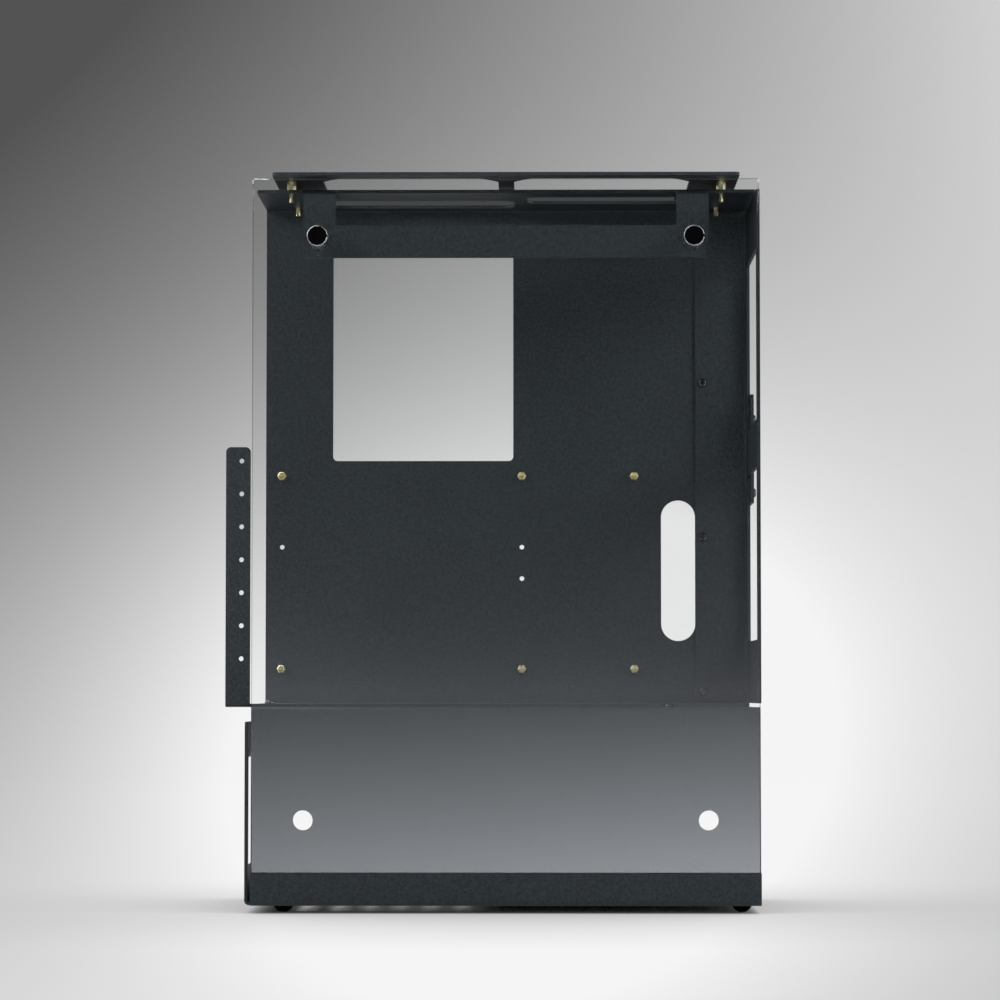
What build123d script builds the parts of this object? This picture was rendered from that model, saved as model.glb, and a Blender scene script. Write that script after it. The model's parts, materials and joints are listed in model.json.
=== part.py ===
from build123d import *
import os

# Open air test bench: a folded sheet-metal stand for a motherboard, with a power supply's bay below.
# Millimetres, +Z up, the glass side faces -Y. The origin is on the floor, under the outline's middle.

os.makedirs("parts", exist_ok=True)

# Folded sheet
sheet = 2.0
bend = 2.0  # radius of each fold, at the middle of the sheet
corner = 3.0  # radius of the sheets' outer corners
flange_corner = 1.2  # radius of the tray's top flange at its front corners

# Small screws
screw_radius = 1.45
tapped_radius = 1.5  # hole that a screw is driven into
clear_radius = 1.7  # hole that a screw passes through
head_radius = 2.9
head_height = 1.9
head_round = 1.5
recess_length = 3.6
recess_width = 1.0
recess_depth = 1.0
button_radius = 3.1
button_height = 2.2
socket_width = 2.0

# Heights, from the floor up
foot_height = 4.5
wall_height = 110.0  # the power supply's wall, above the base
lip_height = 18.0  # the front lip, above the base
shroud_height = 119.0
plate_lift = 5.9  # from the tray's top to the top plate

# Depths, measured from the motherboard tray's front face
bracket_reach = 97.0
top_flange_depth = 86.0
bottom_flange_depth = 112.0
strip_depth = 112.0
rear_reach = 48.0  # the base and the top plate, behind the face

# Widths
tray_width = 312.0
wall_gap = 2.0  # between the shroud and the power supply's wall
strip_gap = 1.45  # between the tray and the expansion strip
strip_width = 15.1
panel_overhang = 0.5  # the side panel stands out this far beyond the tray
flange_stop = 6.5  # the tray's bottom flange ends this far short of its right edge

# Glass and its posts
glass_thickness = 3.0
glass_gap = 0.5
glass_rise = 1.9  # the glass's top, above the tray's top
glass_side_gap = 0.2
glass_chamfer = 0.6
post_length = 24.0
post_radius = 6.45
post_spacing = 232.4
post_above_bracket = 11.0
post_chamfer = 0.6
post_rim = 0.5  # radius of the posts' front edges
post_screw_radius = 1.95
post_tapped_radius = 2.0
post_clear_radius = 2.2
post_thread_depth = 10.0
post_screw_bite = 8.0
post_head_radius = 4.0
pad_radius = 5.8
pad_depth = 2.0
pad_clearance = 0.05
key_width = 1.4  # the pads' keys, each in a notch of its post's rim

# Motherboard's hole pattern and its standoffs
board_inset = 10.55  # first column, from the tray's left edge
board_lift = 24.0  # lowest row, above the shroud
board_headroom = 17.36  # from the top row to the tray's top
column_middle = 154.94
column_right = 227.33
row_middle = 124.46
row_top = 281.94
spare_row_low = 58.42
spare_row_high = 78.74
standoff_flats = 5.0
standoff_height = 6.5
standoff_chamfer = 0.4
standoff_hole_depth = 5.0
standoff_stud = 4.0

# Openings in the tray, from the first column and the lowest row
cpu_left = 32.8
cpu_low = 134.5
cpu_width = 116.6
cpu_height = 142.0
slot_left = 255.8
slot_low = 63.5
slot_width = 22.0
slot_length = 90.8

# Openings in the tray's top flange, from the tray's middle and its face
vent_corner = 8.0
left_vent_x = -58.25
left_vent_y = -29.5
left_vent_width = 126.5
left_vent_depth = 36.0
right_vent_x = 67.75
right_vent_y = -49.3
right_vent_width = 109.5
right_vent_depth = 34.0

# Side panel
panel_lift = 2.3  # above the shroud
panel_top_gap = 2.0  # below the tray's top flange
panel_flange = 35.0
panel_flange_rise = 2.0
panel_screw_inset = 29.75
panel_screw_low = 9.3
panel_screw_pitch = 99.75
window_front = 7.5
window_depth = 102.75
window_low = 39.1
window_height = 106.7
window_pitch = 135.5
window_corner = 2.5

# Accessory plate on the side panel
accessory_low = 130.4
accessory_height = 70.0
accessory_front = 18.0
accessory_depth = 60.0
accessory_hole_inset = 12.25
accessory_hole_low = 7.0
accessory_hole_pitch = 47.5

# Top plate
plate_margin = 10.2  # beyond its standoffs
plate_front = 109.4
fan_pitch = 120.0
fan_reach = 50.0  # fan centres, in front of the face
fan_hole_spacing = 105.0
fan_hole_radius = 2.2
fan_opening_width = 110.1
fan_opening_depth = 88.2
fan_opening_radius = 62.0
plate_post_gap = 8.5  # from the bracket's arms to the standoffs
plate_post_front = 78.6
plate_post_pitch = 66.0
plate_post_flats = 5.0
plate_post_hole_depth = 5.0
plate_post_stud = 7.0

# Glass bracket
arm_width = 20.2
bracket_height = 42.05
bracket_bar = 20.45
bracket_tab = 32.5
bracket_corner = 2.0
bracket_screw_reach = 76.0
bracket_screw_pitch = 10.0

# Power supply's bay
psu_reach = 117.0  # the supply's front, before the face
psu_lift = 12.5
psu_cut_near = 4.5
psu_cut_far = 145.5
psu_cut_low = 9.2
psu_cut_high = 85.5
psu_cut_corner = 12.5
psu_cut_shoulder = 76.0  # the cut's top near the glass
psu_cut_step = 20.0  # the shoulder's length
psu_cut_heel = 16.0
psu_cut_round = 1.5
psu_hole_radius = 1.75
psu_hole_near = 6.0
psu_hole_far = 144.0
psu_hole_high = 80.0
psu_hole_heel = 16.0
psu_hole_foot_y = 30.0
psu_hole_foot_z = 6.0
psu_pad_radius = 7.0
psu_pad_x = (9.0, 142.0)  # from the shroud's left end
psu_pad_y = (-90.0, 8.0)

# Base vents
base_vent_x = 78.7  # the vents' middle, from the shroud's left end
base_vent_y = -42.0
base_vent_pitch = 19.75
base_vent_count = 6
base_vent_width = 12.0
base_vent_length = 110.0

# Shroud
shroud_foot = 16.0
shroud_relief = 5.0
shroud_setback = 2.0
leg_inset = 2.0
leg_width = 13.0
leg_return = 4.0
shroud_hole_radius = 6.15
shroud_hole_spacing = 248.2
shroud_hole_height = 49.9
shroud_screw_inset = 10.0
shroud_screw_x = (-110.0, 0.0, 110.0)
shroud_screw_y = (-60.0, 10.0)

# Expansion strip
strip_height = 160.2
strip_hole_count = 7
strip_hole_pitch = 20.32
strip_hole_inset = 5.45
strip_hole_top = 8.55
strip_foot_depth = 31.0
strip_tongue_setback = 8.0
strip_tongue = 26.5
strip_clearance = 0.5

# Screws on and under the shroud's top
button_reach = 96.0
button_left_x = 9.7  # from the tray's left edge
button_right_x = 55.6  # from the tray's right edge
button_notch_width = 8.0  # in the tray's bottom flange, around the right screw
button_notch_depth = 20.0
tray_screw_x = (-110.0, -5.0, 70.0)
tray_screw_reach = 50.0

# Feet
foot_radius = 6.3
foot_flat = 2.2
foot_left_x = 19.2  # from the tray's left edge
foot_right_x = 11.0  # from the tray's right edge
foot_front_y = -105.0
foot_rear_y = 30.0

# Where the pieces end, from the tray's middle and its face
glass_back = bracket_reach + post_length
shroud_reach = glass_back - glass_gap
front_reach = glass_back + glass_thickness + glass_gap + sheet
left_reach = tray_width / 2 + strip_gap + strip_width
right_reach = tray_width / 2 + panel_overhang + sheet + head_height

# The tray's middle and face, so that the outline's middle is at the origin
middle = (left_reach - right_reach) / 2
face = (front_reach - rear_reach) / 2

# Places
left_edge = middle - tray_width / 2
right_edge = middle + tray_width / 2
rear = face + rear_reach
base_floor = foot_height + sheet
shroud_top = base_floor + shroud_height
tray_top = shroud_top + board_lift + row_top + board_headroom
plate_low = tray_top + plate_lift
glass_height = tray_top + glass_rise - base_floor
shroud_front = face - shroud_reach
wall_outer = left_edge - wall_gap - sheet
wall_front = shroud_front + sheet
board_x = left_edge + board_inset
board_z = shroud_top + board_lift
panel_outer = right_edge + panel_overhang
panel_low = shroud_top + panel_lift
panel_height = tray_top - sheet - panel_top_gap - panel_low
bracket_front = face - bracket_reach
bracket_low = tray_top - sheet - bracket_height
post_height = bracket_low + post_above_bracket
psu_front = face - psu_reach
psu_low = base_floor + psu_lift
plate_post_x = post_spacing / 2 + arm_width / 2 + plate_post_gap
plate_half = plate_post_x + plate_margin
strip_outer = left_edge - strip_gap - strip_width
strip_inner = left_edge - strip_gap
strip_front = face - strip_depth
hole_height = base_floor + shroud_hole_height


def facing_front(y):
    """An upright plane that faces -Y, with X across and Z up."""
    return Plane(origin=(0, y, 0), x_dir=(1, 0, 0), z_dir=(0, -1, 0))


def facing_right(x):
    """An upright plane that faces +X, with Y across and Z up."""
    return Plane(origin=(x, 0, 0), x_dir=(0, 1, 0), z_dir=(1, 0, 0))


# Points shared by the holes and by what goes through them
board_points = [
    (board_x, board_z),
    (board_x + column_middle, board_z),
    (board_x + column_right, board_z),
    (board_x, board_z + row_middle),
    (board_x + column_middle, board_z + row_middle),
    (board_x + column_right, board_z + row_middle),
    (board_x + column_middle, board_z + row_top),
    (board_x + column_right, board_z + row_top),
]
spare_points = [
    (board_x, board_z + spare_row_high),
    (board_x + column_middle, board_z + spare_row_high),
    (board_x + column_middle, board_z + spare_row_low),
]
panel_screw_x = right_edge - panel_screw_inset
panel_screw_points = [
    (panel_screw_x, shroud_top + panel_screw_low + step * panel_screw_pitch) for step in range(3)
]
plate_post_points = [
    (middle + side * plate_post_x, face - plate_post_front + step * plate_post_pitch)
    for side in (-1, 1)
    for step in (0, 1)
]
bracket_screw_points = [
    (middle + side * post_spacing / 2 + shift * bracket_screw_pitch / 2, face - bracket_screw_reach)
    for side in (-1, 1)
    for shift in (-1, 1)
]
post_points = [(middle + side * post_spacing / 2, post_height) for side in (-1, 1)]
shroud_hole_points = [(middle + side * shroud_hole_spacing / 2, hole_height) for side in (-1, 1)]
strip_screw_point = (left_edge + button_left_x, face - button_reach)
notch_screw_point = (right_edge - button_right_x, face - button_reach)
tray_screw_points = [(middle + x, face - tray_screw_reach) for x in tray_screw_x]
leg_rear = rear - shroud_setback
shroud_screw_points = [(middle + x, shroud_front + shroud_screw_inset) for x in shroud_screw_x]
shroud_screw_points += [(right_edge - shroud_screw_inset, face + y) for y in shroud_screw_y]
shroud_screw_points += [(left_edge + leg_inset + leg_width / 2, leg_rear - shroud_screw_inset)]
accessory_points = [
    (face - accessory_front + accessory_hole_inset, shroud_top + accessory_low + rise)
    for rise in (accessory_hole_low, accessory_hole_low + accessory_hole_pitch)
]
accessory_spare_points = [
    (y + accessory_depth - 2 * accessory_hole_inset, z) for y, z in accessory_points
]
psu_pad_points = [(left_edge + x, face + y) for x in psu_pad_x for y in psu_pad_y]

# Base, with the front lip and the power supply's wall
with BuildPart() as base_tray:
    with BuildSketch(facing_front(rear)):
        with BuildLine():
            FilletPolyline(
                (wall_outer + sheet / 2, base_floor + wall_height),
                (wall_outer + sheet / 2, foot_height + sheet / 2),
                (right_edge, foot_height + sheet / 2),
                radius=bend,
            )
        trace(line_width=sheet)
    extrude(amount=rear - wall_front)
    wall_corners = base_tray.edges().filter_by(Axis.X).group_by(Axis.Z)[-1]
    fillet(wall_corners, radius=corner)
    with BuildSketch(facing_right(left_edge)):
        with BuildLine():
            FilletPolyline(
                (wall_front, foot_height + sheet / 2),
                (face - front_reach + sheet / 2, foot_height + sheet / 2),
                (face - front_reach + sheet / 2, base_floor + lip_height),
                radius=bend,
            )
        trace(line_width=sheet)
    extrude(amount=tray_width)
    with BuildSketch(facing_right(wall_outer)) as psu_cut:
        with BuildLine():
            Polyline(
                (psu_front + psu_cut_near, psu_low + psu_cut_low),
                (psu_front + psu_cut_far - psu_cut_heel, psu_low + psu_cut_low),
                (psu_front + psu_cut_far, psu_low + psu_cut_low + psu_cut_heel),
                (psu_front + psu_cut_far, psu_low + psu_cut_high - psu_cut_corner),
                (psu_front + psu_cut_far - psu_cut_corner, psu_low + psu_cut_high),
                (psu_front + psu_cut_near + psu_cut_step, psu_low + psu_cut_high),
                (psu_front + psu_cut_near + psu_cut_step, psu_low + psu_cut_shoulder),
                (psu_front + psu_cut_near, psu_low + psu_cut_shoulder),
                close=True,
            )
        make_face()
        fillet(psu_cut.vertices(), radius=psu_cut_round)
    extrude(amount=sheet, mode=Mode.SUBTRACT)
    with BuildSketch(facing_right(wall_outer)):
        with Locations(
            (psu_front + psu_hole_near, psu_low + psu_hole_high),
            (psu_front + psu_hole_far, psu_low + psu_hole_high),
            (psu_front + psu_hole_far, psu_low + psu_hole_heel),
            (psu_front + psu_hole_foot_y, psu_low + psu_hole_foot_z),
        ):
            Circle(psu_hole_radius)
    extrude(amount=sheet, mode=Mode.SUBTRACT)
    with BuildSketch(Plane.XY.offset(foot_height)):
        with Locations((left_edge + base_vent_x, face + base_vent_y)):
            with GridLocations(base_vent_pitch, 0, base_vent_count, 1):
                SlotOverall(base_vent_length, base_vent_width, rotation=90)
        with Locations(*shroud_screw_points):
            Circle(tapped_radius)
    extrude(amount=sheet, mode=Mode.SUBTRACT)
base_tray.part.label = "base_tray"
export_step(base_tray.part, "parts/base_tray.step")

# Shroud over the power supply: front and top, right wall, and a leg at the rear left
with BuildPart() as psu_shroud:
    with BuildSketch(facing_right(left_edge)):
        with BuildLine():
            FilletPolyline(
                (shroud_front + shroud_foot, base_floor + sheet / 2),
                (shroud_front + sheet / 2, base_floor + sheet / 2),
                (shroud_front + sheet / 2, shroud_top - sheet / 2),
                (shroud_front + shroud_relief, shroud_top - sheet / 2),
                radius=bend,
            )
        trace(line_width=sheet)
    extrude(amount=tray_width)
    with BuildSketch(facing_front(leg_rear - leg_return)):
        with BuildLine():
            FilletPolyline(
                (left_edge, shroud_top - sheet / 2),
                (right_edge - sheet / 2, shroud_top - sheet / 2),
                (right_edge - sheet / 2, base_floor + sheet / 2),
                (right_edge - shroud_foot, base_floor + sheet / 2),
                radius=bend,
            )
        trace(line_width=sheet)
    extrude(amount=leg_rear - leg_return - shroud_front - shroud_relief)
    with BuildSketch(facing_right(left_edge + leg_inset)):
        with BuildLine():
            FilletPolyline(
                (leg_rear - leg_return, shroud_top - sheet / 2),
                (leg_rear - sheet / 2, shroud_top - sheet / 2),
                (leg_rear - sheet / 2, base_floor + sheet / 2),
                (leg_rear - shroud_foot, base_floor + sheet / 2),
                radius=bend,
            )
        trace(line_width=sheet)
    extrude(amount=leg_width)
    with BuildSketch(facing_front(shroud_front)):
        with Locations(*shroud_hole_points):
            Circle(shroud_hole_radius)
    extrude(amount=-sheet, mode=Mode.SUBTRACT)
    with BuildSketch(Plane.XY.offset(base_floor)):
        with Locations(*shroud_screw_points):
            Circle(clear_radius)
    extrude(amount=sheet, mode=Mode.SUBTRACT)
    with BuildSketch(Plane.XY.offset(shroud_top - sheet)):
        with Locations(*tray_screw_points):
            Circle(clear_radius)
        with Locations(strip_screw_point, notch_screw_point):
            Circle(tapped_radius)
    extrude(amount=sheet, mode=Mode.SUBTRACT)
psu_shroud.part.label = "psu_shroud"
export_step(psu_shroud.part, "parts/psu_shroud.step")

# Motherboard tray, with its flanges folded forward at the top and the bottom
with BuildPart() as motherboard_tray:
    with BuildSketch(facing_right(left_edge)):
        with BuildLine():
            FilletPolyline(
                (face - bottom_flange_depth, shroud_top + sheet / 2),
                (face + sheet / 2, shroud_top + sheet / 2),
                (face + sheet / 2, tray_top - sheet / 2),
                (face - top_flange_depth, tray_top - sheet / 2),
                radius=bend,
            )
        trace(line_width=sheet)
    extrude(amount=tray_width)
    flange_corners = motherboard_tray.edges().filter_by(Axis.Z).group_by(Axis.Z)[-1]
    fillet(flange_corners, radius=flange_corner)
    with BuildSketch(facing_front(face)):
        with Locations((board_x + cpu_left + cpu_width / 2, board_z + cpu_low + cpu_height / 2)):
            RectangleRounded(cpu_width, cpu_height, corner)
        with Locations((board_x + slot_left, board_z + slot_low)):
            SlotOverall(slot_length, slot_width, rotation=90)
        with Locations(*board_points, *spare_points, *panel_screw_points):
            Circle(tapped_radius)
    extrude(amount=-sheet, mode=Mode.SUBTRACT)
    with BuildSketch(Plane.XY.offset(tray_top - sheet)):
        with Locations((middle + left_vent_x, face + left_vent_y)):
            RectangleRounded(left_vent_width, left_vent_depth, vent_corner)
        with Locations((middle + right_vent_x, face + right_vent_y)):
            RectangleRounded(right_vent_width, right_vent_depth, vent_corner)
        with Locations(*plate_post_points, *bracket_screw_points):
            Circle(tapped_radius)
    extrude(amount=sheet, mode=Mode.SUBTRACT)
    with BuildSketch(Plane.XY.offset(shroud_top)):
        with Locations((left_edge, face - bottom_flange_depth)):
            Rectangle(
                strip_tongue - strip_gap + strip_clearance,
                strip_foot_depth + strip_clearance,
                align=(Align.MIN, Align.MIN),
            )
        with Locations(*tray_screw_points):
            Circle(tapped_radius)
        with Locations((notch_screw_point[0], face - bottom_flange_depth)):
            Rectangle(button_notch_width, button_notch_depth, align=(Align.CENTER, Align.MIN))
        with Locations((right_edge, face - bend)):
            Rectangle(flange_stop, bottom_flange_depth, align=(Align.MAX, Align.MAX))
    extrude(amount=sheet, mode=Mode.SUBTRACT)
motherboard_tray.part.label = "motherboard_tray"
export_step(motherboard_tray.part, "parts/motherboard_tray.step")

# Side panel, with a flange on the tray's face and two openings
with BuildPart() as side_panel:
    with BuildSketch(Plane.XY.offset(panel_low)):
        with BuildLine():
            FilletPolyline(
                (panel_outer - sheet / 2, shroud_front),
                (panel_outer - sheet / 2, face - sheet / 2),
                (panel_outer - panel_flange, face - sheet / 2),
                radius=bend,
            )
        trace(line_width=sheet)
    extrude(amount=panel_height)
    front_corners = side_panel.edges().filter_by(Axis.X).group_by(Axis.Y)[0]
    fillet(front_corners, radius=corner)
    with BuildSketch(facing_right(panel_outer)):
        with Locations((shroud_front + window_front + window_depth / 2, panel_low + window_low)):
            with Locations((0, window_height / 2), (0, window_height / 2 + window_pitch)):
                RectangleRounded(window_depth, window_height, window_corner)
        with Locations(*accessory_points):
            Circle(tapped_radius)
    extrude(amount=-sheet, mode=Mode.SUBTRACT)
    with BuildSketch(facing_front(face - sheet - bend)):
        with Locations((panel_outer, panel_low)):
            Rectangle(panel_flange, panel_flange_rise, align=(Align.MAX, Align.MIN))
        with Locations(*panel_screw_points):
            Circle(clear_radius)
    extrude(amount=-sheet - bend, mode=Mode.SUBTRACT)
side_panel.part.label = "side_panel"
export_step(side_panel.part, "parts/side_panel.step")

# Accessory plate, flat on the side panel's outside
with BuildPart() as accessory_plate:
    with BuildSketch(facing_right(panel_outer)):
        with Locations((face - accessory_front + accessory_depth / 2, shroud_top + accessory_low)):
            with Locations((0, accessory_height / 2)):
                RectangleRounded(accessory_depth, accessory_height, corner)
        with Locations(*accessory_points, *accessory_spare_points):
            Circle(clear_radius, mode=Mode.SUBTRACT)
    extrude(amount=sheet)
accessory_plate.part.label = "accessory_plate"
export_step(accessory_plate.part, "parts/accessory_plate.step")

# Top plate, with two fan openings
with BuildSketch() as fan_opening:
    Rectangle(fan_opening_width, fan_opening_depth)
    Circle(fan_opening_radius, mode=Mode.INTERSECT)

with BuildPart() as top_plate:
    with BuildSketch(Plane.XY.offset(plate_low)):
        with Locations((middle, (face - plate_front + rear) / 2)):
            RectangleRounded(2 * plate_half, plate_front + rear_reach, corner)
        with Locations((middle, face - fan_reach)):
            with GridLocations(fan_pitch, 0, 2, 1):
                add(fan_opening.sketch, mode=Mode.SUBTRACT)
                with GridLocations(fan_hole_spacing, fan_hole_spacing, 2, 2):
                    Circle(fan_hole_radius, mode=Mode.SUBTRACT)
        with Locations(*plate_post_points):
            Circle(clear_radius, mode=Mode.SUBTRACT)
    extrude(amount=sheet)
top_plate.part.label = "top_plate"
export_step(top_plate.part, "parts/top_plate.step")

# Glass bracket: a bar between two arms, which fold back under the tray's top flange
with BuildPart() as glass_bracket:
    with BuildSketch(facing_right(middle - post_spacing / 2 - arm_width / 2)):
        with BuildLine():
            FilletPolyline(
                (bracket_front + sheet / 2, bracket_low),
                (bracket_front + sheet / 2, tray_top - sheet * 3 / 2),
                (bracket_front + bracket_tab, tray_top - sheet * 3 / 2),
                radius=bend,
            )
        trace(line_width=sheet)
    extrude(amount=post_spacing + arm_width)
    bar_corners = glass_bracket.edges().filter_by(Axis.Y).group_by(Axis.Z)[0]
    tab_corners = glass_bracket.edges().filter_by(Axis.Z).group_by(Axis.Y)[-1]
    fillet(bar_corners, radius=bracket_corner)
    fillet(tab_corners, radius=bracket_corner)
    with BuildSketch(facing_front(bracket_front)):
        with Locations((middle, bracket_low + bracket_bar)):
            Rectangle(
                post_spacing - arm_width,
                bracket_height,
                align=(Align.CENTER, Align.MIN),
            )
    extrude(amount=-bracket_tab, mode=Mode.SUBTRACT)
    with BuildSketch(facing_front(bracket_front)):
        with Locations(*post_points):
            Circle(post_clear_radius)
    extrude(amount=-sheet, mode=Mode.SUBTRACT)
    with BuildSketch(Plane.XY.offset(tray_top - sheet)):
        with Locations(*bracket_screw_points):
            Circle(clear_radius)
    extrude(amount=-sheet, mode=Mode.SUBTRACT)
glass_bracket.part.label = "glass_bracket"
export_step(glass_bracket.part, "parts/glass_bracket.step")

# Glass, which stands on the base behind the lip
with BuildPart() as side_glass:
    with BuildSketch(facing_front(face - glass_back)):
        with Locations((middle, base_floor + glass_height / 2)):
            Rectangle(tray_width - 2 * glass_side_gap, glass_height)
    extrude(amount=glass_thickness)
    chamfer(side_glass.edges(), length=glass_chamfer)
    with BuildSketch(facing_front(face - glass_back)):
        with Locations(*shroud_hole_points):
            Circle(shroud_hole_radius)
    extrude(amount=glass_thickness, mode=Mode.SUBTRACT)
side_glass.part.label = "side_glass"
export_step(side_glass.part, "parts/side_glass.step")

# Chrome posts between the bracket and the glass, each with a recess for its pad and the pad's key
with BuildPart() as post_left:
    with BuildSketch(facing_front(bracket_front)):
        with Locations(post_points[0]):
            Circle(post_radius)
    extrude(amount=post_length)
    chamfer(post_left.edges().group_by(Axis.Y)[-1], length=post_chamfer)
    fillet(post_left.edges().group_by(Axis.Y)[0], radius=post_rim)
    with BuildSketch(facing_front(face - glass_back)):
        with Locations(post_points[0]):
            Circle(pad_radius + pad_clearance)
            Rectangle(
                2 * post_radius,
                key_width + 2 * pad_clearance,
                align=(Align.MIN, Align.CENTER),
            )
    extrude(amount=-pad_depth, mode=Mode.SUBTRACT)
    with BuildSketch(facing_front(bracket_front)):
        with Locations(post_points[0]):
            Circle(post_tapped_radius)
    extrude(amount=post_thread_depth, mode=Mode.SUBTRACT)
post_left.part.label = "post_left"
export_step(post_left.part, "parts/post_left.step")

with BuildPart() as post_right:
    with BuildSketch(facing_front(bracket_front)):
        with Locations(post_points[1]):
            Circle(post_radius)
    extrude(amount=post_length)
    chamfer(post_right.edges().group_by(Axis.Y)[-1], length=post_chamfer)
    fillet(post_right.edges().group_by(Axis.Y)[0], radius=post_rim)
    with BuildSketch(facing_front(face - glass_back)):
        with Locations(post_points[1]):
            Circle(pad_radius + pad_clearance)
            Rectangle(
                2 * post_radius,
                key_width + 2 * pad_clearance,
                align=(Align.MIN, Align.CENTER),
            )
    extrude(amount=-pad_depth, mode=Mode.SUBTRACT)
    with BuildSketch(facing_front(bracket_front)):
        with Locations(post_points[1]):
            Circle(post_tapped_radius)
    extrude(amount=post_thread_depth, mode=Mode.SUBTRACT)
post_right.part.label = "post_right"
export_step(post_right.part, "parts/post_right.step")

# Black pads, flush with the posts' fronts
with BuildPart() as post_pads:
    with BuildSketch(facing_front(face - glass_back)):
        with Locations(*post_points):
            Circle(pad_radius)
            Rectangle(post_radius - pad_clearance, key_width, align=(Align.MIN, Align.CENTER))
    extrude(amount=-pad_depth)
post_pads.part.label = "post_pads"
export_step(post_pads.part, "parts/post_pads.step")

# Expansion strip, with a tongue that lies on the shroud
with BuildPart() as expansion_strip:
    with BuildSketch(facing_right(strip_outer)):
        with BuildLine():
            FilletPolyline(
                (strip_front + sheet / 2, shroud_top + strip_height),
                (strip_front + sheet / 2, shroud_top + sheet / 2),
                (strip_front + strip_foot_depth, shroud_top + sheet / 2),
                radius=bend,
            )
        trace(line_width=sheet)
    extrude(amount=strip_width)
    strip_corners = expansion_strip.edges().filter_by(Axis.Y).group_by(Axis.Z)[-1]
    fillet(strip_corners, radius=corner)
    with BuildSketch(Plane.XY.offset(shroud_top)):
        with Locations((strip_inner, strip_front + strip_tongue_setback)):
            Rectangle(
                strip_tongue,
                strip_foot_depth - strip_tongue_setback,
                align=(Align.MIN, Align.MIN),
            )
        with Locations(strip_screw_point):
            Circle(clear_radius, mode=Mode.SUBTRACT)
    extrude(amount=sheet)
    with BuildSketch(facing_front(strip_front)):
        with Locations((strip_inner - strip_hole_inset, shroud_top + strip_height - strip_hole_top)):
            with Locations(*[(0, -step * strip_hole_pitch) for step in range(strip_hole_count)]):
                Circle(tapped_radius)
    extrude(amount=-sheet, mode=Mode.SUBTRACT)
expansion_strip.part.label = "expansion_strip"
export_step(expansion_strip.part, "parts/expansion_strip.step")

# Brass standoffs for the motherboard
with BuildPart() as board_standoffs:
    with BuildSketch(facing_front(face)):
        with Locations(*board_points):
            RegularPolygon(standoff_flats / 2, 6, major_radius=False)
    extrude(amount=standoff_height)
    chamfer(board_standoffs.edges().group_by(Axis.Y)[0], length=standoff_chamfer)
    with BuildSketch(facing_front(face)):
        with Locations(*board_points):
            Circle(screw_radius)
    extrude(amount=-standoff_stud)
    with BuildSketch(facing_front(face - standoff_height)):
        with Locations(*board_points):
            Circle(tapped_radius)
    extrude(amount=-standoff_hole_depth, mode=Mode.SUBTRACT)
board_standoffs.part.label = "board_standoffs"
export_step(board_standoffs.part, "parts/board_standoffs.step")

# Brass standoffs under the top plate
with BuildPart() as plate_standoffs:
    with BuildSketch(Plane.XY.offset(tray_top)):
        with Locations(*plate_post_points):
            RegularPolygon(plate_post_flats / 2, 6, major_radius=False)
    extrude(amount=plate_lift)
    with BuildSketch(Plane.XY.offset(tray_top)):
        with Locations(*plate_post_points):
            Circle(screw_radius)
    extrude(amount=-plate_post_stud)
    with BuildSketch(Plane.XY.offset(plate_low)):
        with Locations(*plate_post_points):
            Circle(tapped_radius)
    extrude(amount=-plate_post_hole_depth, mode=Mode.SUBTRACT)
plate_standoffs.part.label = "plate_standoffs"
export_step(plate_standoffs.part, "parts/plate_standoffs.step")

# Forms of the screws' heads, which sit on the XY plane
with BuildPart() as pan_head:
    with BuildSketch():
        Circle(head_radius)
    extrude(amount=head_height)
    fillet(pan_head.edges().group_by(Axis.Z)[-1], radius=head_round)
    with BuildSketch(Plane.XY.offset(head_height)):
        Rectangle(recess_length, recess_width)
        Rectangle(recess_width, recess_length)
    extrude(amount=-recess_depth, mode=Mode.SUBTRACT)

with BuildPart() as post_head:
    with BuildSketch():
        Circle(post_head_radius)
    extrude(amount=head_height)
    fillet(post_head.edges().group_by(Axis.Z)[-1], radius=head_round)
    with BuildSketch(Plane.XY.offset(head_height)):
        Rectangle(recess_length, recess_width)
        Rectangle(recess_width, recess_length)
    extrude(amount=-recess_depth, mode=Mode.SUBTRACT)

with BuildPart() as button_head:
    with BuildSketch():
        Circle(button_radius)
    extrude(amount=button_height)
    fillet(button_head.edges().group_by(Axis.Z)[-1], radius=button_height * 0.8)
    with BuildSketch(Plane.XY.offset(button_height)):
        RegularPolygon(socket_width / 2, 6, major_radius=False)
    extrude(amount=-recess_depth, mode=Mode.SUBTRACT)

# Screws of the top plate
with BuildPart() as plate_screws:
    with BuildSketch(Plane.XY.offset(plate_low + sheet)):
        with Locations(*plate_post_points):
            Circle(screw_radius)
    extrude(amount=-sheet - plate_post_hole_depth + recess_depth)
    with Locations(Plane.XY.offset(plate_low + sheet)):
        with Locations(*plate_post_points):
            add(pan_head.part)
plate_screws.part.label = "plate_screws"
export_step(plate_screws.part, "parts/plate_screws.step")

# Screws of the side panel
with BuildPart() as panel_screws:
    with BuildSketch(facing_front(face - sheet)):
        with Locations(*panel_screw_points):
            Circle(screw_radius)
    extrude(amount=-3 * sheet)
    with Locations(facing_front(face - sheet)):
        with Locations(*panel_screw_points):
            add(pan_head.part)
panel_screws.part.label = "panel_screws"
export_step(panel_screws.part, "parts/panel_screws.step")

# Screws of the accessory plate
with BuildPart() as accessory_screws:
    with BuildSketch(facing_right(panel_outer + sheet)):
        with Locations(*accessory_points):
            Circle(screw_radius)
    extrude(amount=-2 * sheet)
    with Locations(facing_right(panel_outer + sheet)):
        with Locations(*accessory_points):
            add(pan_head.part)
accessory_screws.part.label = "accessory_screws"
export_step(accessory_screws.part, "parts/accessory_screws.step")

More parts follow.
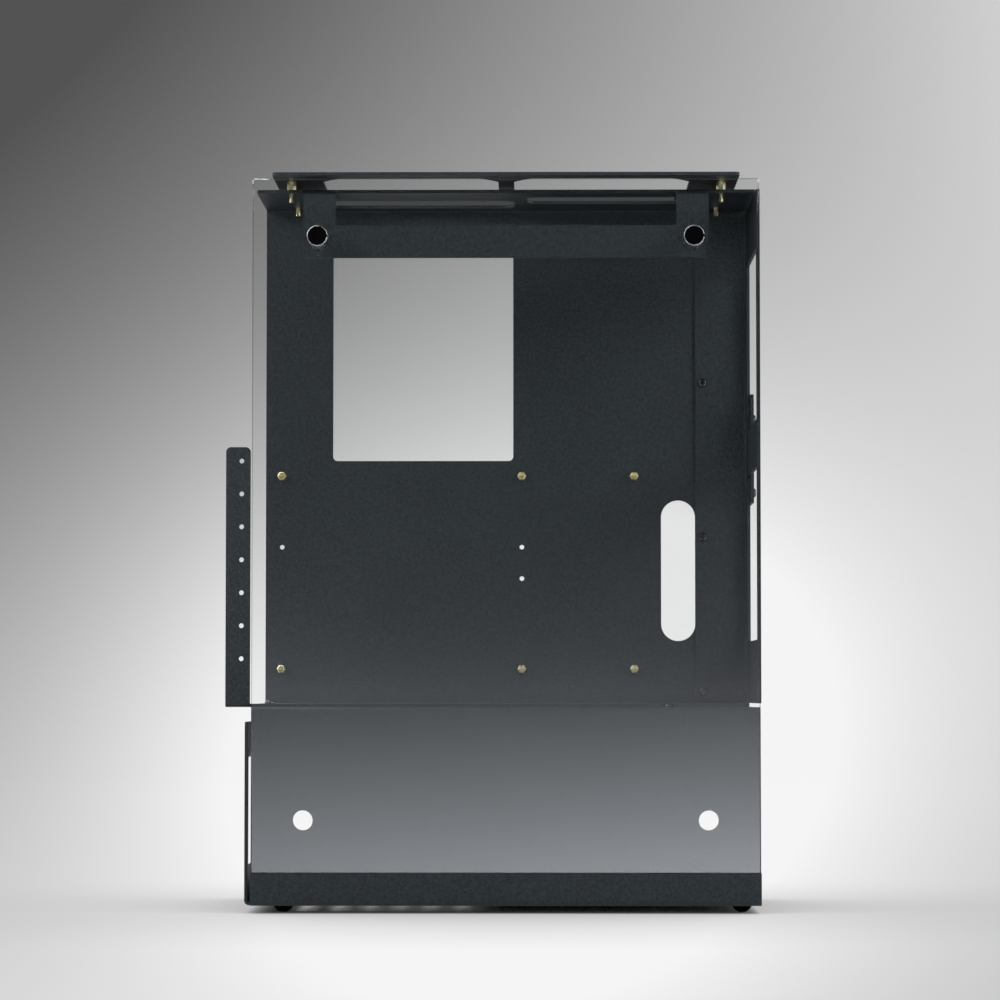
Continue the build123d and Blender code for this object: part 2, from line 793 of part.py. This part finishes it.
# Screws of the glass bracket, with their heads below its tabs
with BuildPart() as bracket_screws:
    with BuildSketch(Plane.XY.offset(tray_top)):
        with Locations(*bracket_screw_points):
            Circle(screw_radius)
    extrude(amount=-2 * sheet)
    with Locations(Plane.XY.offset(tray_top - 2 * sheet)):
        with Locations(*bracket_screw_points):
            add(pan_head.part, rotation=(180, 0, 0))
bracket_screws.part.label = "bracket_screws"
export_step(bracket_screws.part, "parts/bracket_screws.step")

# Screws of the posts, with their heads behind the bracket
with BuildPart() as post_screws:
    with BuildSketch(facing_front(bracket_front + sheet)):
        with Locations(*post_points):
            Circle(post_screw_radius)
    extrude(amount=sheet + post_screw_bite)
    with Locations(facing_front(bracket_front + sheet)):
        with Locations(*post_points):
            add(post_head.part, rotation=(180, 0, 0))
post_screws.part.label = "post_screws"
export_step(post_screws.part, "parts/post_screws.step")

# Round-head screws on the strip's tongue and, in the flange's notch, on the shroud
with BuildPart() as button_screws:
    with BuildSketch(Plane.XY.offset(shroud_top - 2 * sheet)):
        with Locations(strip_screw_point, notch_screw_point):
            Circle(screw_radius)
    extrude(amount=2 * sheet)
    with BuildSketch(Plane.XY.offset(shroud_top)):
        with Locations(strip_screw_point):
            Circle(screw_radius)
    extrude(amount=sheet)
    with Locations(Plane.XY.offset(shroud_top + sheet)):
        with Locations(strip_screw_point):
            add(button_head.part)
    with Locations(Plane.XY.offset(shroud_top)):
        with Locations(notch_screw_point):
            add(button_head.part)
button_screws.part.label = "button_screws"
export_step(button_screws.part, "parts/button_screws.step")

# Screws from below the shroud's top into the tray's bottom flange
with BuildPart() as tray_screws:
    with BuildSketch(Plane.XY.offset(shroud_top - sheet)):
        with Locations(*tray_screw_points):
            Circle(screw_radius)
    extrude(amount=2 * sheet)
    with Locations(Plane.XY.offset(shroud_top - sheet)):
        with Locations(*tray_screw_points):
            add(pan_head.part, rotation=(180, 0, 0))
tray_screws.part.label = "tray_screws"
export_step(tray_screws.part, "parts/tray_screws.step")

# Screws through the shroud's feet into the base
with BuildPart() as shroud_screws:
    with BuildSketch(Plane.XY.offset(base_floor + sheet)):
        with Locations(*shroud_screw_points):
            Circle(screw_radius)
    extrude(amount=-2 * sheet)
    with Locations(Plane.XY.offset(base_floor + sheet)):
        with Locations(*shroud_screw_points):
            add(pan_head.part)
shroud_screws.part.label = "shroud_screws"
export_step(shroud_screws.part, "parts/shroud_screws.step")

# Rubber pads that the power supply rests on
with BuildPart() as psu_pads:
    with BuildSketch(Plane.XY.offset(base_floor)):
        with Locations(*psu_pad_points):
            Circle(psu_pad_radius)
    extrude(amount=psu_lift)
psu_pads.part.label = "psu_pads"
export_step(psu_pads.part, "parts/psu_pads.step")

# Rubber foot: a low dome, flat where it stands
with BuildPart() as foot_form:
    with BuildSketch(Plane.XZ):
        with BuildLine():
            Line((0, foot_height), (0, 0))
            Line((0, 0), (foot_flat, 0))
            RadiusArc((foot_flat, 0), (foot_radius, foot_height), -foot_height * 1.5)
            Line((foot_radius, foot_height), (0, foot_height))
        make_face()
    revolve(axis=Axis.Z)

with BuildPart() as foot_front_left:
    with Locations((left_edge + foot_left_x, face + foot_front_y)):
        add(foot_form.part)
foot_front_left.part.label = "foot_front_left"
export_step(foot_front_left.part, "parts/foot_front_left.step")

with BuildPart() as foot_front_right:
    with Locations((right_edge - foot_right_x, face + foot_front_y)):
        add(foot_form.part)
foot_front_right.part.label = "foot_front_right"
export_step(foot_front_right.part, "parts/foot_front_right.step")

with BuildPart() as foot_rear_left:
    with Locations((left_edge + foot_left_x, face + foot_rear_y)):
        add(foot_form.part)
foot_rear_left.part.label = "foot_rear_left"
export_step(foot_rear_left.part, "parts/foot_rear_left.step")

with BuildPart() as foot_rear_right:
    with Locations((right_edge - foot_right_x, face + foot_rear_y)):
        add(foot_form.part)
foot_rear_right.part.label = "foot_rear_right"
export_step(foot_rear_right.part, "parts/foot_rear_right.step")
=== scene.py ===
import json
import math

import bmesh
import bpy
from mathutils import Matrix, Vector


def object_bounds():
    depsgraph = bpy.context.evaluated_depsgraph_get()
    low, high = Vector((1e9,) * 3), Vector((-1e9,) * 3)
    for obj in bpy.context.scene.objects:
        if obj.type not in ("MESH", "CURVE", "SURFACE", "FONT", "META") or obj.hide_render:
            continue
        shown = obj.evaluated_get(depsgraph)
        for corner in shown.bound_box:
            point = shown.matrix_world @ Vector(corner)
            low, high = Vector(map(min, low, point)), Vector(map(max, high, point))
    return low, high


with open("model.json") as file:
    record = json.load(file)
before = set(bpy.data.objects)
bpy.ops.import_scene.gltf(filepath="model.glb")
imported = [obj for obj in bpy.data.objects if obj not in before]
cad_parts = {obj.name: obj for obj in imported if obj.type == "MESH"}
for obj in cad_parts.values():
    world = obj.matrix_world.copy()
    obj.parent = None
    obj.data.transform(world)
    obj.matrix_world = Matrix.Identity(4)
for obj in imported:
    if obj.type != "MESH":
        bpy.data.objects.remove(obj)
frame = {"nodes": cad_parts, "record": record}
cad_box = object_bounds()
nodes = frame["nodes"]
scene = bpy.context.scene

bevel_samples, shadow_samples = 4, 16
noise_low, noise_high = 0.3, 0.7  # where most of a noise's values lie
cool = (0.968, 1.0, 1.065)  # tint of what the glass mirrors


class Graph:
    """A material's or a world's nodes, with short calls for the ones used here."""

    def __init__(self, tree):
        self.tree = tree
        self.tree.nodes.clear()

    def add(self, kind, **values):
        node = self.tree.nodes.new(kind)
        for key, value in values.items():
            setattr(node, key, value)
        return node

    def put(self, node, name, value):
        """Sets an input to a number or colour, or links an output to it."""
        socket = node.inputs[name]
        if isinstance(value, bpy.types.NodeSocket):
            self.tree.links.new(value, socket)
        else:
            socket.default_value = value

    def math(self, operation, a, b=0.0):
        node = self.add("ShaderNodeMath", operation=operation)
        self.put(node, 0, a)
        self.put(node, 1, b)
        return node.outputs[0]

    def total(self, first, *others):
        for other in others:
            first = self.math("ADD", first, other)
        return first

    def product(self, first, *others):
        for other in others:
            first = self.math("MULTIPLY", first, other)
        return first

    def less(self, a, b):
        return self.math("SUBTRACT", a, b)

    def ratio(self, a, b):
        return self.math("DIVIDE", a, b)

    def square(self, value):
        return self.math("POWER", self.math("ABSOLUTE", value), 2.0)

    def remap(self, value, low, high, to_low, to_high, smooth=False):
        node = self.add("ShaderNodeMapRange", interpolation_type="SMOOTHSTEP" if smooth else "LINEAR")
        self.put(node, "Value", value)
        self.put(node, "From Min", low)
        self.put(node, "From Max", high)
        self.put(node, "To Min", to_low)
        self.put(node, "To Max", to_high)
        return node.outputs["Result"]

    def clamped(self, value, low, high):
        return self.remap(value, low, high, low, high)

    def blend(self, share, at_none, at_full):
        """One value where the share is 0, and another where it is 1."""
        return self.remap(share, 0.0, 1.0, at_none, at_full)

    def inside(self, value, low, high, edge):
        """1 between two ends, fading to 0 over an edge at each of them."""
        rise = self.remap(value, low, low + edge, 0.0, 1.0)
        return self.product(rise, self.remap(value, high - edge, high, 1.0, 0.0))

    def split(self, vector):
        node = self.add("ShaderNodeSeparateXYZ")
        self.put(node, 0, vector)
        return node.outputs

    def noise(self, vector, scale, detail, roughness):
        node = self.add("ShaderNodeTexNoise")
        self.put(node, "Vector", vector)
        self.put(node, "Scale", scale)
        self.put(node, "Detail", detail)
        self.put(node, "Roughness", roughness)
        return node.outputs["Fac"]

    def mix_colour(self, factor, a, b):
        node = self.add("ShaderNodeMix", data_type="RGBA")
        self.put(node, 0, factor)
        self.put(node, 6, a)
        self.put(node, 7, b)
        return node.outputs[2]

    def tinted(self, value, tint=(1.0, 1.0, 1.0)):
        """A grey of one value, or that value times a tint."""
        node = self.add("ShaderNodeCombineColor")
        for channel, share in enumerate(tint):
            self.put(node, channel, self.product(value, share))
        return node.outputs[0]

    def bump(self, height, strength, distance, normal):
        node = self.add("ShaderNodeBump")
        self.put(node, "Height", height)
        self.put(node, "Strength", strength)
        self.put(node, "Distance", distance)
        self.put(node, "Normal", normal)
        return node.outputs["Normal"]

    def rounded(self, radius):
        """A normal that rounds the edges off."""
        node = self.add("ShaderNodeBevel", samples=bevel_samples)
        self.put(node, "Radius", radius)
        return node.outputs["Normal"]

    def openness(self, reach):
        """1 where nothing stands near, and less where something does."""
        node = self.add("ShaderNodeAmbientOcclusion", samples=shadow_samples)
        self.put(node, "Distance", reach)
        return node.outputs["AO"]


def new_material(name):
    made = bpy.data.materials.new(name)
    made.use_nodes = True
    return made, Graph(made.node_tree)


def principled(name):
    made, graph = new_material(name)
    shader = graph.add("ShaderNodeBsdfPrincipled")
    graph.put(graph.add("ShaderNodeOutputMaterial"), "Surface", shader.outputs[0])
    place = graph.add("ShaderNodeTexCoord").outputs["Object"]
    return made, graph, shader, place


def powder_coat():
    """Anthracite powder coat with a fine leathery grain."""
    dark, pale = (0.0112, 0.0165, 0.0201, 1), (0.0266, 0.0392, 0.0465, 1)
    grain_tone, patch_tone, fine_height = 0.85, 0.15, 0.45
    tone_low, tone_high = 0.36, 0.64
    made, graph, shader, place = principled("coat")
    grain = graph.noise(place, scale=580.0, detail=3.0, roughness=0.6)
    fine = graph.noise(place, scale=1700.0, detail=2.0, roughness=0.5)
    patch = graph.noise(place, scale=14.0, detail=3.0, roughness=0.5)
    height = graph.total(grain, graph.product(fine, fine_height))
    tone = graph.total(graph.product(grain, grain_tone), graph.product(patch, patch_tone))
    tone = graph.remap(tone, tone_low, tone_high, 0.0, 1.0)
    rough = graph.remap(grain, noise_low, noise_high, to_low=0.34, to_high=0.46)
    normal = graph.bump(height, strength=0.9, distance=0.0007, normal=graph.rounded(0.0004))
    graph.put(shader, "Base Color", graph.mix_colour(tone, dark, pale))
    graph.put(shader, "Roughness", rough)
    graph.put(shader, "Specular IOR Level", 0.36)
    graph.put(shader, "Normal", normal)
    return made


def chrome():
    """Metal with fine ridges along the posts' sides."""
    stretch = (1.0, 0.06, 1.0)
    made, graph, shader, place = principled("chrome")
    along = graph.add("ShaderNodeVectorMath", operation="MULTIPLY")
    graph.put(along, 0, place)
    graph.put(along, 1, stretch)
    ridges = graph.noise(along.outputs[0], scale=950.0, detail=2.0, roughness=0.5)
    rough = graph.remap(ridges, noise_low, noise_high, to_low=0.20, to_high=0.32)
    normal = graph.bump(ridges, strength=0.75, distance=0.0005, normal=graph.rounded(0.0002))
    graph.put(shader, "Base Color", (0.50, 0.51, 0.53, 1))
    graph.put(shader, "Metallic", 1.0)
    graph.put(shader, "Roughness", rough)
    graph.put(shader, "Normal", normal)
    return made


def uneven(name, colours, noise, rough, bumps, edge, fixed):
    """Colour, roughness and height that vary with one noise.

    The noise has a scale, a detail and a roughness, the bumps a strength and a distance.
    """
    made, graph, shader, place = principled(name)
    spots = graph.noise(place, *noise)
    graph.put(shader, "Base Color", graph.mix_colour(spots, *colours))
    graph.put(shader, "Roughness", graph.remap(spots, noise_low, noise_high, *rough))
    graph.put(shader, "Normal", graph.bump(spots, *bumps, graph.rounded(edge)))
    for socket, value in fixed.items():
        graph.put(shader, socket, value)
    return made


def clear_glass():
    """Clear where it is looked through, a mirror at flat angles, and darker at the cut edges."""
    clean, smeared, edge = (0.995, 1.0, 0.998, 1), (0.985, 0.993, 0.990, 1), (0.72, 0.75, 0.74, 1)
    straight_gloss, edge_gloss, gloss_power = 0.072, 0.7, 5.0
    on_face, on_edge = 0.9, 0.6  # the share of Y in a normal on the faces, and on the cut edges
    made, graph = new_material("clear_glass")
    places = graph.add("ShaderNodeTexCoord").outputs
    turned = graph.split(places["Normal"])
    cut_edge = graph.remap(graph.math("ABSOLUTE", turned["Y"]), on_face, on_edge, 0.0, 1.0)
    smear = graph.noise(places["Object"], scale=9.0, detail=2.0, roughness=0.5)
    smear = graph.remap(smear, noise_low, noise_high, 0.0, 1.0)
    through = graph.add("ShaderNodeBsdfTransparent")
    graph.put(through, "Color", graph.mix_colour(cut_edge, graph.mix_colour(smear, smeared, clean), edge))
    mirror = graph.add("ShaderNodeBsdfGlossy")
    graph.put(mirror, "Color", (1, 1, 1, 1))
    graph.put(mirror, "Roughness", 0.0)
    angle = graph.add("ShaderNodeLayerWeight")
    graph.put(angle, "Blend", 0.5)
    gloss = graph.math("POWER", angle.outputs["Facing"], gloss_power)
    gloss = graph.blend(gloss, straight_gloss, 1.0)
    either = graph.add("ShaderNodeMixShader")
    graph.put(either, 0, graph.product(gloss, graph.blend(cut_edge, 1.0, edge_gloss)))
    graph.put(either, 1, through.outputs[0])
    graph.put(either, 2, mirror.outputs[0])
    graph.put(graph.add("ShaderNodeOutputMaterial"), "Surface", either.outputs[0])
    return made


looks = {
    "coat": powder_coat(),
    "chrome": chrome(),
    "brass": uneven(
        "brass",
        colours=((0.82, 0.69, 0.33, 1), (1.0, 0.92, 0.58, 1)),
        noise=(420.0, 4.0, 0.6),
        rough=(0.22, 0.38),
        bumps=(0.12, 0.0001),
        edge=0.00025,
        fixed={"Metallic": 1.0},
    ),
    "black_rubber": uneven(
        "black_rubber",
        colours=((0.0010, 0.0010, 0.0011, 1), (0.0030, 0.0030, 0.0033, 1)),
        noise=(1300.0, 2.0, 0.5),
        rough=(0.75, 0.90),
        bumps=(0.2, 0.0002),
        edge=0.0004,
        fixed={"Specular IOR Level": 0.03},
    ),
    "black_screws": uneven(
        "black_screws",
        colours=((0.045, 0.046, 0.048, 1), (0.11, 0.112, 0.115, 1)),
        noise=(700.0, 3.0, 0.6),
        rough=(0.12, 0.20),
        bumps=(0.1, 0.0001),
        edge=0.0003,
        fixed={"Metallic": 0.9},
    ),
    "clear_glass": clear_glass(),
}
for entry in frame["record"]["subparts"]:
    piece = nodes[entry["node"]]
    for held in piece.material_slots:
        held.material = looks[entry["material_slot"]]


def point(held, direction):
    held.rotation_mode = "QUATERNION"
    held.rotation_quaternion = direction.to_track_quat("-Z", "Y")


# The camera, low in front of the glass, turned slightly up and to the left
eye = Vector((0.024725, -2.36025, 0.1349))
pitch, yaw = math.radians(2.954), math.radians(0.556)
camera = bpy.data.objects.new("camera", bpy.data.cameras.new("camera"))
camera.data.sensor_width = 36.0
camera.data.lens = 133.8
camera.data.clip_end = 200.0
camera.location = eye
level = math.cos(pitch)
point(camera, Vector((-math.sin(yaw) * level, math.cos(yaw) * level, math.sin(pitch))))
scene.collection.objects.link(camera)
scene.camera = camera

# One sweep for the floor and the backdrop
half_width = 30.0
floor_front, floor_back, wall_top = -40.0, 3.2, 8.0
bend_radius, bend_steps = 1.0, 20
floor_drop = 0.0003  # below the feet

profile = [(floor_front, 0.0), (floor_back, 0.0)]
for step in range(1, bend_steps + 1):
    turn = math.pi / 2 * step / bend_steps
    profile.append((floor_back + bend_radius * math.sin(turn), bend_radius * (1 - math.cos(turn))))
profile.append((floor_back + bend_radius, wall_top))
shape = bmesh.new()
rows = [[shape.verts.new((x, y, z - floor_drop)) for x in (-half_width, half_width)] for y, z in profile]
for near, far in zip(rows, rows[1:]):
    shape.faces.new((near[0], near[1], far[1], far[0])).smooth = True
sweep_mesh = bpy.data.meshes.new("sweep")
shape.to_mesh(sweep_mesh)
shape.free()
sweep = bpy.data.objects.new("sweep", sweep_mesh)
scene.collection.objects.link(sweep)


def backdrop_tones(graph, where):
    """The sweep's light by place, with a glow low in the middle of the first view.

    The places across and down are measured from that view's middle to its edges, where they are 1.
    """
    tone_middle, tone_across, tone_down, tone_twist = 0.652, 0.124, 0.123, -0.149
    glow_tone, glow_down, glow_width, glow_height = 0.431, 0.413, 0.81, 0.654
    tone_low, tone_high, gamma = 0.33, 0.96, 2.2
    depth_least = 0.8
    across_end, down_top, down_end = 1.4, -1.4, 1.3
    half_view = 2 * camera.data.lens / camera.data.sensor_width
    depth = graph.math("MAXIMUM", graph.less(where["Y"], eye.y), depth_least)
    across = graph.ratio(graph.less(where["X"], eye.x), depth)
    across = graph.total(graph.product(across, half_view), half_view * math.tan(yaw))
    across = graph.clamped(across, -across_end, across_end)
    down = graph.ratio(graph.less(eye.z, where["Z"]), depth)
    down = graph.total(graph.product(down, half_view), half_view * math.tan(pitch))
    down = graph.clamped(down, down_top, down_end)
    spread = graph.square(graph.ratio(across, glow_width))
    drop = graph.square(graph.ratio(graph.less(down, glow_down), glow_height))
    glow = graph.math("EXPONENT", graph.product(graph.total(spread, drop), -1.0))
    tone = graph.total(
        graph.product(across, tone_across),
        graph.product(down, tone_down),
        graph.product(across, down, tone_twist),
        tone_middle,
        graph.product(glow, glow_tone),
    )
    return graph.math("POWER", graph.clamped(tone, tone_low, tone_high), gamma)


def floor_shadow(graph, where):
    """The object's shadow, with stripes of light under the base's vents."""
    shadow_reach, shadow_depth = 0.34, 0.86
    slit_reach, slit_dark, slit_pale = 0.09, 0.45, 1.45
    slit_closed, slit_open = 0.40, 0.80
    slit_box, slit_edge = ((-0.145, -0.072), (0.0, 0.065)), 0.01  # the vents' place, from corner to corner
    shadow = graph.math("POWER", graph.openness(shadow_reach), shadow_depth)
    slit = graph.remap(graph.openness(slit_reach), slit_closed, slit_open, slit_dark, slit_pale)
    sides = zip("XY", *slit_box)
    under = graph.product(*[graph.inside(where[axis], low, high, slit_edge) for axis, low, high in sides])
    return graph.product(shadow, graph.blend(under, 1.0, slit))


def mirrored_floor(graph, where):
    """The floor in front of the object as the glass mirrors it, brightest near it and to the right."""
    peak, fade, far = 2.05, 1.45, 0.28
    lean, lean_end = 2.27, 0.4
    reach = graph.math("MAXIMUM", graph.less(cad_box[0][1], where["Y"]), 0.0)
    front = graph.ratio(peak, graph.total(1.0, graph.ratio(reach, fade)))
    side = graph.ratio(graph.less(where["X"], eye.x), graph.total(reach, -eye.y))
    side = graph.remap(graph.product(side, lean), -lean_end, lean_end, 1 - lean_end, 1 + lean_end)
    return graph.product(graph.total(front, far), side)


def sweep_look():
    """The floor and the backdrop, which glow by themselves."""
    bounce, bounce_behind = 0.55, 0.15  # the share that lights the object, from the floor and the backdrop
    mirror_behind = 0.32  # the share of the backdrop that the metal mirrors
    behind_near, behind_far = 0.15, 0.9
    front_far, front_near = -0.45, -0.25
    made, graph = new_material("studio")
    where = graph.split(graph.add("ShaderNodeNewGeometry").outputs["Position"])
    rays = graph.add("ShaderNodeLightPath").outputs
    behind = graph.remap(where["Y"], behind_near, behind_far, 0.0, 1.0, smooth=True)
    light = graph.product(
        backdrop_tones(graph, where),
        floor_shadow(graph, where),
        graph.blend(rays["Is Diffuse Ray"], 1.0, graph.blend(behind, bounce, bounce_behind)),
        graph.blend(rays["Is Glossy Ray"], 1.0, graph.blend(behind, 1.0, mirror_behind)),
    )
    in_front = graph.remap(where["Y"], front_far, front_near, 1.0, 0.0, smooth=True)
    mirrored = graph.product(in_front, rays["Is Glossy Ray"])
    front = graph.tinted(mirrored_floor(graph, where), cool)
    glowing = graph.add("ShaderNodeEmission")
    graph.put(glowing, "Color", graph.mix_colour(mirrored, graph.tinted(light), front))
    graph.put(glowing, "Strength", 1.0)
    graph.put(graph.add("ShaderNodeOutputMaterial"), "Surface", glowing.outputs[0])
    return made


sweep_mesh.materials.append(sweep_look())


def softbox(name, place, aim, side, watts):
    lamp = bpy.data.lights.new(name, "AREA")
    lamp.shape = "SQUARE"
    lamp.size = side
    lamp.energy = watts
    held = bpy.data.objects.new(name, lamp)
    held.location = place
    point(held, Vector(aim) - Vector(place))
    scene.collection.objects.link(held)


subject = (0.0, 0.0, 0.25)
softbox("front_left", (-2.0, -1.9, 1.6), subject, side=1.2, watts=33.0)
softbox("front_right", (2.1, -1.7, 1.4), subject, side=1.2, watts=27.5)
softbox("left", (-3.4, 0.5, 1.494), (0.0, 0.5, 1.494), side=1.2, watts=36.0)
softbox("right", (3.4, 0.55, 1.493), (0.0, 0.55, 1.493), side=1.2, watts=30.0)
softbox("above", (-0.845, 0.2, 2.6), (-0.845, 0.2, 0.0), side=1.1, watts=32.0)
softbox("behind", (-1.4, 2.6, 1.9), subject, side=1.4, watts=26.0)


def world_look():
    """Around the sweep: a bright haze low down, and a grey that only the camera sees."""
    haze_peak, haze_fall, haze_base = 0.38, 0.018, 0.008
    seen_grey = (0.70, 0.70, 0.70, 1)
    world = bpy.data.worlds.new("studio")
    world.use_nodes = True
    graph = Graph(world.node_tree)
    toward = graph.split(graph.add("ShaderNodeTexCoord").outputs["Generated"])
    climb = graph.math("MAXIMUM", toward["Z"], 0.0)
    haze = graph.math("EXPONENT", graph.ratio(climb, -haze_fall))
    haze = graph.total(graph.product(haze, haze_peak), haze_base)
    rays = graph.add("ShaderNodeLightPath").outputs
    seen = graph.math("MAXIMUM", rays["Is Camera Ray"], rays["Is Transmission Ray"])
    around = graph.add("ShaderNodeBackground")
    graph.put(around, "Color", graph.mix_colour(seen, graph.tinted(haze, cool), seen_grey))
    graph.put(graph.add("ShaderNodeOutputWorld"), "Surface", around.outputs[0])
    return world


scene.world = world_look()
scene.view_settings.view_transform = "Standard"
